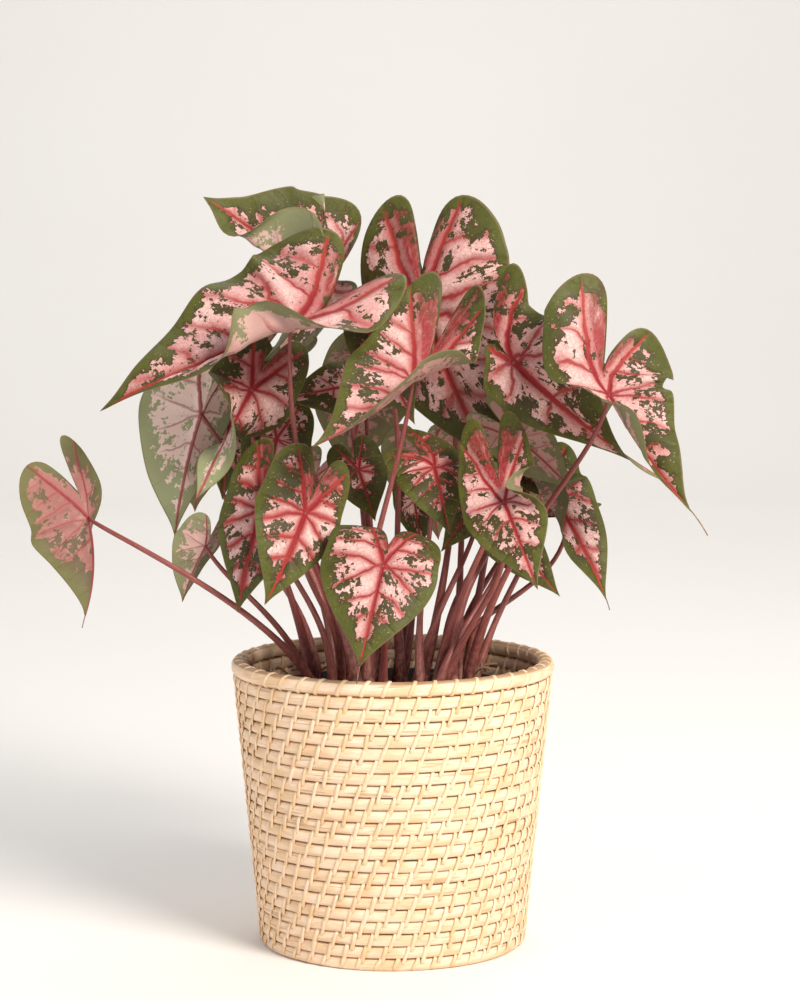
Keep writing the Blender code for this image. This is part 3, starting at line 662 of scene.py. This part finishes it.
# The veins, in shares of the midrib's length: the lobe vein's angle from the midrib, how the side veins sweep
# forward and curve, their steps along the midrib and the lobe vein, how much nearer than a step they run, and
# how fast the distance grows past a vein's end
LOBE_ANGLE = math.radians(158)
SIDE_SWEEP = 0.55
SIDE_CURVE = 0.35
LOBE_SWEEP = 0.5
SIDE_STEP = 0.24
LOBE_STEP = 0.21
SIDE_SLANT = 0.85
LOBE_SLANT = 0.87
PAST_END = 9


def vein_distance(s, t):
    """How far flat points are from the nearest vein, for the blade's swell between its veins."""
    t = np.abs(t)
    forward = s - SIDE_SWEEP * t - SIDE_CURVE * t * t
    u = math.cos(LOBE_ANGLE) * s + math.sin(LOBE_ANGLE) * t
    v = math.sin(LOBE_ANGLE) * s - math.cos(LOBE_ANGLE) * t
    back = u - LOBE_SWEEP * v
    near = np.where(s > 0, t, np.hypot(s, t))
    near = np.minimum(near, np.where(u > 0, np.abs(v), np.hypot(s, t)))
    side = np.abs((forward / SIDE_STEP + 0.5) % 1 - 0.5) * SIDE_STEP * SIDE_SLANT
    near = np.minimum(near, np.where(forward > -SIDE_STEP / 2, side, 1))
    lobe = np.abs((back / LOBE_STEP + 0.5) % 1 - 0.5) * LOBE_STEP * LOBE_SLANT
    return np.minimum(near, np.where((back > -LOBE_STEP / 2) & (v > 0), lobe, 1))


def veins(s, t, large, middle):
    """For the finish: how far away the main veins and the side veins are, and the places along the lobe vein
    and across it. The veins waver with the noises large and middle."""
    t = abs(t)
    waver = (large - 0.5) * 0.20 + (middle - 0.5) * 0.06
    forward = s - t * SIDE_SWEEP - t * t * SIDE_CURVE + waver
    u = s * math.cos(LOBE_ANGLE) + t * math.sin(LOBE_ANGLE)
    v = s * math.sin(LOBE_ANGLE) - t * math.cos(LOBE_ANGLE) + waver * 0.3
    back = u - v * LOBE_SWEEP + waver
    midrib = abs(t + (middle - 0.5) * 0.008) + (-s).most(0)
    lobe = abs(v) + (-u).most(0)
    side = abs((forward / SIDE_STEP).wrap()) * (SIDE_STEP * SIDE_SLANT)
    side = side + (-0.5 * SIDE_STEP - forward).most(0) * PAST_END
    rear = abs((back / LOBE_STEP).wrap()) * (LOBE_STEP * LOBE_SLANT)
    rear = rear + (-0.5 * LOBE_STEP - back).most(0) * PAST_END
    return midrib.least(lobe), side.least(rear + (-v).most(0) * PAST_END), u, v


PINK = (0.72, 0.47, 0.42)
ROSE = (0.57, 0.28, 0.26)
CREAM = (0.70, 0.50, 0.45)
NET_RED = (0.46, 0.16, 0.15)
HALO_RED = (0.33, 0.042, 0.038)
SINUS_RED = (0.28, 0.021, 0.025)
SINUS_BROWN = (0.165, 0.044, 0.020)
VEIN_RED = (0.25, 0.011, 0.015)
VEIN_TIP_RED = (0.32, 0.032, 0.021)
DARK_OLIVE = (0.056, 0.035, 0.012)
OLIVE = (0.090, 0.094, 0.012)
MOSS = (0.050, 0.056, 0.010)
MOSS_GRAIN = (0.036, 0.032, 0.010)
FLECK = (0.46, 0.26, 0.16)
EDGE_BROWN = (0.20, 0.13, 0.06)
UNDER_ROSE = (0.34, 0.155, 0.135)
UNDER_PINK = (0.42, 0.22, 0.185)
UNDER_CREAM = (0.58, 0.37, 0.32)
UNDER_NET = (0.34, 0.12, 0.10)
UNDER_HALO = (0.40, 0.12, 0.11)
UNDER_VEIN = (0.31, 0.055, 0.06)
UNDER_SIDE_VEIN = (0.33, 0.085, 0.08)
UNDER_OLIVE = (0.105, 0.095, 0.050)
UNDER_SAGE = (0.125, 0.150, 0.052)
# Pale underside colours: partly the underside's real colour, partly painted light for shaded undersides
PALE_PINK_WITH_PAINTED_LIGHT = (0.84, 0.64, 0.57)
PALE_SAGE_WITH_PAINTED_LIGHT = (0.24, 0.30, 0.13)


def blade_finish(name, under):
    """The blade's look. 'flat' is the place along, the place across and the share of the way to the edge,
    'grain' is the place in metres with a number of each leaf's own, and 'mood' holds how much greener and
    redder than most the leaf is, and how pale its underside. That paleness is partly the underside's real
    pale colour and partly painted light, which brightens undersides that lie in shade."""
    finish = Finish(name, Roughness=0.5, IOR=1.4, Specular_IOR_Level=0.15 if under else 0.4)
    mix, flat, grain = finish.mix, finish.attribute("flat"), finish.attribute("grain")
    s, t, share = (finish.part(flat, k) for k in range(3))
    mood = finish.attribute("mood")
    # paler: the underside's real paleness together with painted light on undersides that lie in shade
    greener, redder, paler = (finish.part(mood, k) for k in range(3))
    large, middle = finish.noise(grain, 34, 2), finish.noise(grain, 82, 3)
    fine, tiny = finish.noise(grain, 340, 3), finish.noise(grain, 1000, 2)
    own = finish.part(grain, 2)
    fan = finish.node("ShaderNodeCombineXYZ", {}, {0: t.angle(s) * 7, 1: share * 3, 2: own * 9})
    feather = finish.noise(fan, 1.6, 4)
    net = 1 - finish.cells(grain, 300, "DISTANCE_TO_EDGE").step(0.02, 0.10)
    crease = finish.noise(finish.stretched(flat, (18, 60, 0)), 1, 3)
    # veins with ragged sides, a soft halo round them, and the strip between the lobe vein and the sinus
    main, side, u, v = veins(s, t, large, middle)
    ragged = (fine - 0.5) * 0.016
    on_main = 1 - ((main + ragged) / (0.021 - share * 0.012)).step(0.45, 1.3)
    on_side = 1 - ((side + ragged) / (0.013 - share * 0.007)).step(0.4, 1.5)
    on_side = on_side * (1 - (share + middle * 0.4).step(0.72, 1.04)) * (1 - s.step(0.35, 0.75) * 0.6)
    halo = 1 - (main.least(side + 0.012) / (redder + 1)).step(0.0, 0.068)
    inner = (1 - (v + 0.02).step(-0.045, 0.005)) * u.step(0.03, 0.2)
    # green: a margin with a torn inner edge, and splashes between the veins
    splash = share * 0.74 + 0.395 + greener + (large - 0.5) * 0.9 + (middle - 0.5) * 2.3
    splash = splash + (feather - 0.5) * 1.1 + (fine - 0.5) * 1.2 + (tiny - 0.5) * 0.45
    splash = splash + share.step(0.80, 0.98) * 0.55 - halo * 0.17 - inner * 0.16
    if under:
        field = mix(large.step(0.35, 0.65), UNDER_ROSE, UNDER_PINK)
        field = mix(middle.step(0.5, 0.66) * 0.5, field, UNDER_CREAM)
        field = mix(net * 0.3, field, UNDER_NET)
        field = mix(halo * 0.5, field, UNDER_HALO)
        # painted light: undersides are drawn toward pale pink and sage, partly their real colour and partly
        # light shining through
        field = mix(paler * 0.75, field, PALE_PINK_WITH_PAINTED_LIGHT)
        leafy = mix(share.step(0.6, 0.95), UNDER_OLIVE, UNDER_SAGE)
        leafy = mix(paler * 0.8, leafy, PALE_SAGE_WITH_PAINTED_LIGHT)
        colour = mix(splash.step(0.80, 0.95) * 0.85, field, leafy)
        colour = mix(on_main * 0.9, colour, UNDER_VEIN)
        colour = mix(on_side * 0.55, colour, UNDER_SIDE_VEIN)
        height = (1 - main.step(0, 0.02)) * 1.6 + (1 - side.step(0, 0.012)) * 0.7 + net * 0.15
    else:
        field = mix(large.step(0.3, 0.7), PINK, ROSE)
        field = mix(crease.step(0.45, 0.75) * 0.45, field, CREAM)
        field = mix(net * 0.5, field, NET_RED)
        field = mix(halo * (redder + 0.7), field, HALO_RED)
        sinus = mix((share + (middle - 0.5)).step(0.35, 0.95), SINUS_RED, SINUS_BROWN)
        field = mix(inner * (feather + 0.55).step(0.6, 1.02) * (crease * 0.7 + 0.63), field, sinus)
        leafy = mix(share.step(0.5, 0.93) * splash.step(0.90, 1.30), DARK_OLIVE, OLIVE)
        leafy = mix(large.step(0.42, 0.66) * 0.45, leafy, MOSS)
        leafy = mix((tiny + fine).step(0.9, 1.2) * 0.35, leafy, MOSS_GRAIN)
        colour = mix(splash.step(0.855, 0.885), field, leafy)
        fleck = 1 - (finish.cells(grain, 380) + (tiny - 0.5) * 0.8).step(0.14, 0.22)
        fleck = fleck * (fine + middle).step(1.02, 1.12) * (1 - share.step(0.9, 0.97))
        colour = mix(fleck * 0.6, colour, FLECK)
        vein = mix(share.step(0.15, 0.75), VEIN_RED, VEIN_TIP_RED)
        colour = mix(on_side * 0.85, colour, vein)
        colour = mix(on_main * (1 - share.step(0.86, 0.98)), colour, vein)
        height = main.step(0, 0.03) * 1.2 + side.step(0, 0.025) * 0.9 - net * 0.12 + fine * 0.1
    colour = mix(share.step(0.975, 0.992) * 0.6, colour, EDGE_BROWN)
    return finish.wear(Base_Color=colour, Roughness=(0.6 if under else 0.46) + fine * 0.2,
                       Normal=finish.bump(height, 0.5, 0.0008))


upper_look, under_look = blade_finish("leaf_upper", False), blade_finish("leaf_under", True)

# How much greener than most some leaves are, how much redder round their veins, and how pale beneath. The
# paleness beneath is partly the real pale underside and partly painted light: it is raised most for
# hanging_left, whose underside lies in shade, to stand for light shining through it.
GREENER = dict(back_centre=-0.08, front_centre=-0.06, upper_left=-0.12, top_left=0.06, shaded_centre=0.06,
               twisted_left=0.06, far_left=0.02, small_left=0.06, middle_left=0.1, low_left=0.08,
               front_left=0.12, deep_centre=0.38, middle_centre=0.2, front_low=0.05, upper_right=0.08,
               low_right=0.14, tip_right=0.25, low_centre=0.35, inner_back=0.25, inner_right=0.25,
               rear_left=0.1)
REDDER = dict(back_centre=0.15, front_centre=0.2, upper_left=0.1, twisted_left=0.2, low_left=0.4,
              front_left=0.45, deep_centre=0.4, middle_centre=0.4, front_low=0.2, low_right=0.3)
PALER_WITH_PAINTED_LIGHT = dict(hanging_left=1.3, twisted_left=0.8, top_left=0.6, small_left=0.5, upper_left=0.35, far_right=0.3,
             far_left=0)
USUAL_PALE = 0.2


def blade_piece(leaf, number):
    """The blade as a closed sheet: upper face, underside and a thin edge."""
    around, rings = (96, 20) if leaf.small else (144, 34)
    outline = leaf.outline(around // 2 + 1)
    shares = (np.arange(1, rings + 1) / rings) ** 0.9
    flat = np.vstack([np.zeros((1, 2))] + [outline * k for k in shares])
    share = np.concatenate([[0], np.repeat(shares, around)])
    points = leaf.bent(flat, share)
    fan = [[0, 1 + k, 1 + (k + 1) % around] for k in range(around)]
    quads = np.array(ring_faces(rings, around, closed=False, offset=1))[:, [0, 3, 2, 1]]
    triangles = np.vstack([np.array(fan), quads[:, :3], quads[:, [0, 2, 3]]])
    corners = points[triangles]
    facing = np.cross(corners[:, 1] - corners[:, 0], corners[:, 2] - corners[:, 0])
    normals = np.zeros_like(points)
    for k in range(3):
        np.add.at(normals, triangles[:, k], facing)
    normals /= np.linalg.norm(normals, axis=1)[:, None]
    near = vein_distance(flat[:, 0], flat[:, 1])
    fade = np.clip(share * 6, 0, 1) * np.clip((1 - share) * 5, 0, 1)
    swell = leaf.length * SWELL * (1 - np.exp(-(near / VEIN_VALLEY) ** 2)) * fade
    points = points + normals * (swell - leaf.length * SWELL / 2)[:, None]
    half = normals * (BLADE_THICKNESS * (1.15 - 0.75 * share) / 2)[:, None]
    total = len(points)
    upper = fan + quads.tolist()
    lower = [[v + total for v in face[::-1]] for face in upper]
    first = 1 + (rings - 1) * around
    edge = [(first + k, first + k + total, first + (k + 1) % around + total, first + (k + 1) % around)
            for k in range(around)]
    mood = GREENER.get(leaf.name, 0), REDDER.get(leaf.name, 0), PALER_WITH_PAINTED_LIGHT.get(leaf.name, USUAL_PALE)
    fields = dict(flat=np.column_stack([flat, share]),
                  grain=np.column_stack([flat * leaf.length, np.full(len(flat), 0.37 * number)]),
                  mood=np.tile(mood, (len(flat), 1)))
    fields = {key: np.vstack([value, value]) for key, value in fields.items()}
    slots = np.array([0] * len(upper) + [1] * len(lower) + [0] * len(edge))
    piece = new_piece("leaf_" + leaf.name, np.vstack([points + half, points - half]), upper + lower + edge,
                      [upper_look, under_look], slots, fields)
    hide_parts("blade_" + leaf.name)


for number, leaf in enumerate(leaves):
    blade_piece(leaf, number)

# The drip tips: threads of dried brown tissue in which some blades end. Each grew as the blade's own point
# and hangs down from it.
DRIP_TIPS = dict(far_right=17 * MM, front_low=9 * MM, far_left=7 * MM, low_right=7 * MM, hanging_left=6 * MM)
DRIP_WIDTH = 0.7 * MM
DRIP_THICK = 0.5 * MM
DRIP_POINTS = 7

dried = Finish("dried_tissue", Roughness=0.8)
streak = dried.noise(dried.stretched(dried.attribute("fibre"), (1, 6, 1)), 240, 3)
skin = dried.mix(streak.step(0.35, 0.7), (0.13, 0.065, 0.035), (0.30, 0.18, 0.10))
dried_look = dried.wear(Base_Color=skin)
tails = []
near_tip = np.array([0.94, 0.985])
for leaf in leaves:
    if leaf.name in DRIP_TIPS:
        before, start = leaf.bent(np.column_stack([near_tip, np.zeros(2)]), near_tip)
        run = (start - before) / np.linalg.norm(start - before)
        u = np.linspace(0, 1, DRIP_POINTS)[:, None]
        line = start + DRIP_TIPS[leaf.name] * (u * run + u * u * np.array([0, 0, -0.25]))
        tails.append(strip(line, np.tile(leaf.up, (DRIP_POINTS, 1)), DRIP_WIDTH, DRIP_THICK, 0.0))
gather("leaf_tails", tails, dried_look)

# The dried sheaths: papery brown scraps of old leaf sheaths. They have come off the stalks and lie curled on
# the soil between them, and a few still stand bowed at the stalks' feet.
SCRAPS = 26
SCRAP_FIELD = 78 * MM
SCRAP_LIMIT = 80 * MM
SCRAP_POINTS = 9
BOW_POINTS = 11
BOW_WIDTH = 1.7 * MM
BOWS = (
    ((-47, -12, 169), (-44, 4, 192), (-70, -2, 187)),
    ((-52, -6, 169), (-60, 2, 184), (-43, -2, 190)),
    ((-66, 4, 169), (-70, 0, 186), (-80, 6, 188)),
    ((50, 0, 169), (56, -6, 196), (67, 0, 187)),
    ((44, -4, 169), (66, -2, 190), (60, 4, 192)),
    ((54, 6, 169), (50, 2, 192), (72, 8, 190)),
)

scraps = []
for k in range(SCRAPS):
    reach, turn = SCRAP_FIELD * math.sqrt(random.uniform(0.1, 1)), random.uniform(0, 2 * np.pi)
    heading, length = random.uniform(0, 2 * np.pi), random.uniform(9, 26) * MM
    u = np.linspace(0, 1, SCRAP_POINTS)
    heading = heading + random.normal(0, 0.9) * u
    line = np.column_stack([reach * math.cos(turn) + np.cumsum(np.cos(heading)) * length / SCRAP_POINTS,
                            reach * math.sin(turn) + np.cumsum(np.sin(heading)) * length / SCRAP_POINTS,
                            SOIL_TOP + 1.6 * MM + random.uniform(0.5, 5) * MM * np.sin(np.pi * u)])
    line[:, :2] *= np.minimum(1, SCRAP_LIMIT / np.hypot(line[:, 0], line[:, 1]))[:, None]
    width = random.uniform(0.9, 2.6) * MM
    scraps.append(strip(line, np.tile((0, 0, 1.0), (SCRAP_POINTS, 1)), width, 0.7 * MM, k))
for number, (start, bend, end) in enumerate(np.array(BOWS) * MM):
    u = np.linspace(0, 1, BOW_POINTS)[:, None]
    line = start * (1 - u) ** 2 + bend * 2 * u * (1 - u) + end * u**2
    scraps.append(strip(line, np.tile((0.3, -1.0, 0.4), (BOW_POINTS, 1)), BOW_WIDTH, 0.8 * MM, 40 + number))
gather("dried_sheaths", scraps, dried_look)

# The stalks: round, juicy and wine-red, with fine streaks and dark speckles, blotched and wider at the foot,
# where the sheath is. All the stalks of a corm grow from its crown, which lies in the soil.
CORMS = dict(front_left=(-45, -14), front_centre=(-12, -30), front_right=(24, -27), left=(-24, 16),
             centre=(11, 10), right=(46, 4), back=(-2, 44))
STALK_CIRCLE = 7 * MM
STALK_FOOT = 164 * MM
SHEATH_RADIUS = 3.6 * MM
STALK_RADIUS = 2.0 * MM
STALK_TIP_RADIUS = 1.1 * MM
STALK_GAP = 0.1 * MM

stem = Finish("stalk_skin", Roughness=0.4)
fibre = stem.attribute("fibre")
height = stem.part(fibre, 2)
low = 1 - height.step(0.02, 0.30)
streak = stem.noise(stem.stretched(fibre, (1, 12, 0)), 90, 3)
speckle = stem.noise(stem.stretched(fibre, (1, 2, 0)), 700, 2)
patch = stem.noise(stem.stretched(fibre, (1, 1, 0)), 190, 3)
paler = stem.noise(stem.stretched(fibre, (1.7, 0, 0)), 1, 0).step(0.38, 0.62)
skin = stem.mix(paler, (0.25, 0.046, 0.038), (0.40, 0.130, 0.105))
skin = stem.mix(height.step(0.45, 0.95) * 0.55, skin, (0.22, 0.036, 0.034))
skin = stem.mix(streak.step(0.38, 0.66) * 0.7, skin, (0.18, 0.030, 0.023))
skin = stem.mix(low * patch.step(0.46, 0.60) * 0.5, skin, (0.46, 0.23, 0.155))
skin = stem.mix(low * (1 - patch.step(0.40, 0.54)) * 0.7, skin, (0.075, 0.038, 0.032))
skin = stem.mix(speckle.step(0.54, 0.66) * 0.65, skin, (0.105, 0.022, 0.018))
stem_look = stem.wear(Base_Color=skin, Roughness=0.36 + streak * 0.25,
                      Normal=stem.bump(streak + speckle * 0.3, 0.3, 0.0004))


def stalk(leaf, number, steps=28, sides=12):
    """A leaf's stalk, from its corm to the blade's underside: its points, its fibre places and its faces."""
    turn = math.pi / 3 * leaf.spot
    round_corm = np.array([math.cos(turn), math.sin(turn), 0])
    x, y = CORMS[leaf.corm]
    foot = np.array([x * MM, y * MM, STALK_FOOT]) + STALK_CIRCLE * round_corm
    top = leaf.at - leaf.up * STALK_GAP
    far = np.linalg.norm(top - foot)
    low = foot + far * (leaf.rise * np.array([0, 0, 1]) + 0.1 * round_corm)
    high = top - far * leaf.reach * (0.75 * leaf.up + np.array([0, 0, leaf.under]))
    u = np.linspace(0, 1, steps + 1)
    weights = np.column_stack([(1 - u) ** 3, 3 * u * (1 - u) ** 2, 3 * u**2 * (1 - u), u**3])
    line = weights @ np.array([foot, low, high, top])
    radii = np.interp(u, (0, 0.12, 0.3, 0.9, 1), (SHEATH_RADIUS, 0.95 * SHEATH_RADIUS, 1.1 * STALK_RADIUS,
                                                 0.75 * STALK_RADIUS, STALK_TIP_RADIUS))
    runs = np.gradient(line, axis=0)
    runs[0], runs[-1] = (0, 0, 1), leaf.up
    reach = way_along(line)
    turns = np.linspace(0, 2 * np.pi, sides, endpoint=False)
    points, fibres = [], []
    across = np.array([0.0, 1.0, 0.0])
    for middle, run, radius, gone in zip(line, runs, radii, reach):
        run = run / np.linalg.norm(run)
        across = across - across.dot(run) * run
        across = across / np.linalg.norm(across)
        around = np.outer(np.cos(turns), across) + np.outer(np.sin(turns), np.cross(run, across))
        points.append(middle + radius * (1 + 0.05 * np.sin(3 * turns + number))[:, None] * around)
        share = gone / reach[-1]
        fibres.append(np.column_stack([np.full(sides, gone + number), turns * radius, np.full(sides, share)]))
    return np.vstack(points), np.vstack(fibres), tube_faces(len(line), sides)


for corm in CORMS:
    stalks = [stalk(leaf, number) for number, leaf in enumerate(leaves) if leaf.corm == corm]
    piece = gather("petioles_" + corm, stalks, stem_look)
    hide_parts("stalks_" + corm)

# The studio: a pale paper floor that curves up into a backdrop. A large soft light stands to the right, with
# weaker ones to the left, behind and on the backdrop. A long lens looks slightly down from the front.
CURVE_START = 3.2
CURVE_RADIUS = 1.2
FLOOR_FRONT = -5.0
BACKDROP_TOP = 6.0
FLOOR_SIDE = 6.0
CAMERA_TILT = 5.54

paper = Finish("studio_paper", Roughness=0.9)
cloud = paper.noise(paper.place(), 1.5, 1)
paper_look = paper.wear(Base_Color=paper.mix(cloud, (0.83, 0.80, 0.76), (0.86, 0.84, 0.81)))
sweep = [(FLOOR_FRONT, 0.0), (CURVE_START, 0.0)]
for turn in np.linspace(0, math.pi / 2, 17)[1:]:
    sweep.append((CURVE_START + CURVE_RADIUS * math.sin(turn), CURVE_RADIUS - CURVE_RADIUS * math.cos(turn)))
sweep.append((CURVE_START + CURVE_RADIUS, BACKDROP_TOP))
points = [(x, y, z) for y, z in sweep for x in (-FLOOR_SIDE, FLOOR_SIDE)]
faces = [(2 * k, 2 * k + 1, 2 * k + 3, 2 * k + 2) for k in range(len(sweep) - 1)]
floor = smooth_mesh("studio_floor", points, faces, [paper_look])


def soft_light(name, place, target, size, power, colour):
    """A round lamp of a size in metres and a power in watts, turned to its target."""
    light = bpy.data.lights.new(name, "AREA")
    light.shape, light.size, light.energy, light.color = "DISK", size, power, colour
    lamp = new_object(name, light)
    lamp.location = place
    lamp.rotation_euler = (Vector(target) - Vector(place)).to_track_quat("-Z", "Y").to_euler()


soft_light("key", (1.15, -1.45, 1.6), (0, 0, 0.25), 1.0, 65, (1.0, 0.955, 0.89))
soft_light("fill", (-1.8, -1.2, 0.9), (0, 0, 0.25), 1.6, 11, (0.95, 0.97, 1.0))
soft_light("back", (0.3, 1.0, 1.9), (0, 0, 0.3), 1.2, 7, (1.0, 0.99, 0.96))
soft_light("backdrop_wash", (0, 2.4, 3.4), (0, 4.3, 0.6), 2.5, 52, (1.0, 0.98, 0.95))
world = bpy.data.worlds.new("studio")
world.use_nodes = True
world.node_tree.nodes["Background"].inputs["Color"].default_value = (0.95, 0.96, 1.0, 1)
world.node_tree.nodes["Background"].inputs["Strength"].default_value = 0.45
bpy.context.scene.world = world
bpy.context.scene.view_settings.view_transform = "Standard"

lens = bpy.data.cameras.new("camera")
lens.lens, lens.sensor_width = 95.2, 36
camera = new_object("camera", lens)
camera.location = (0.005, -1.8, 0.479)
camera.rotation_euler = (math.radians(90 - CAMERA_TILT), 0, 0)
bpy.context.scene.camera = camera
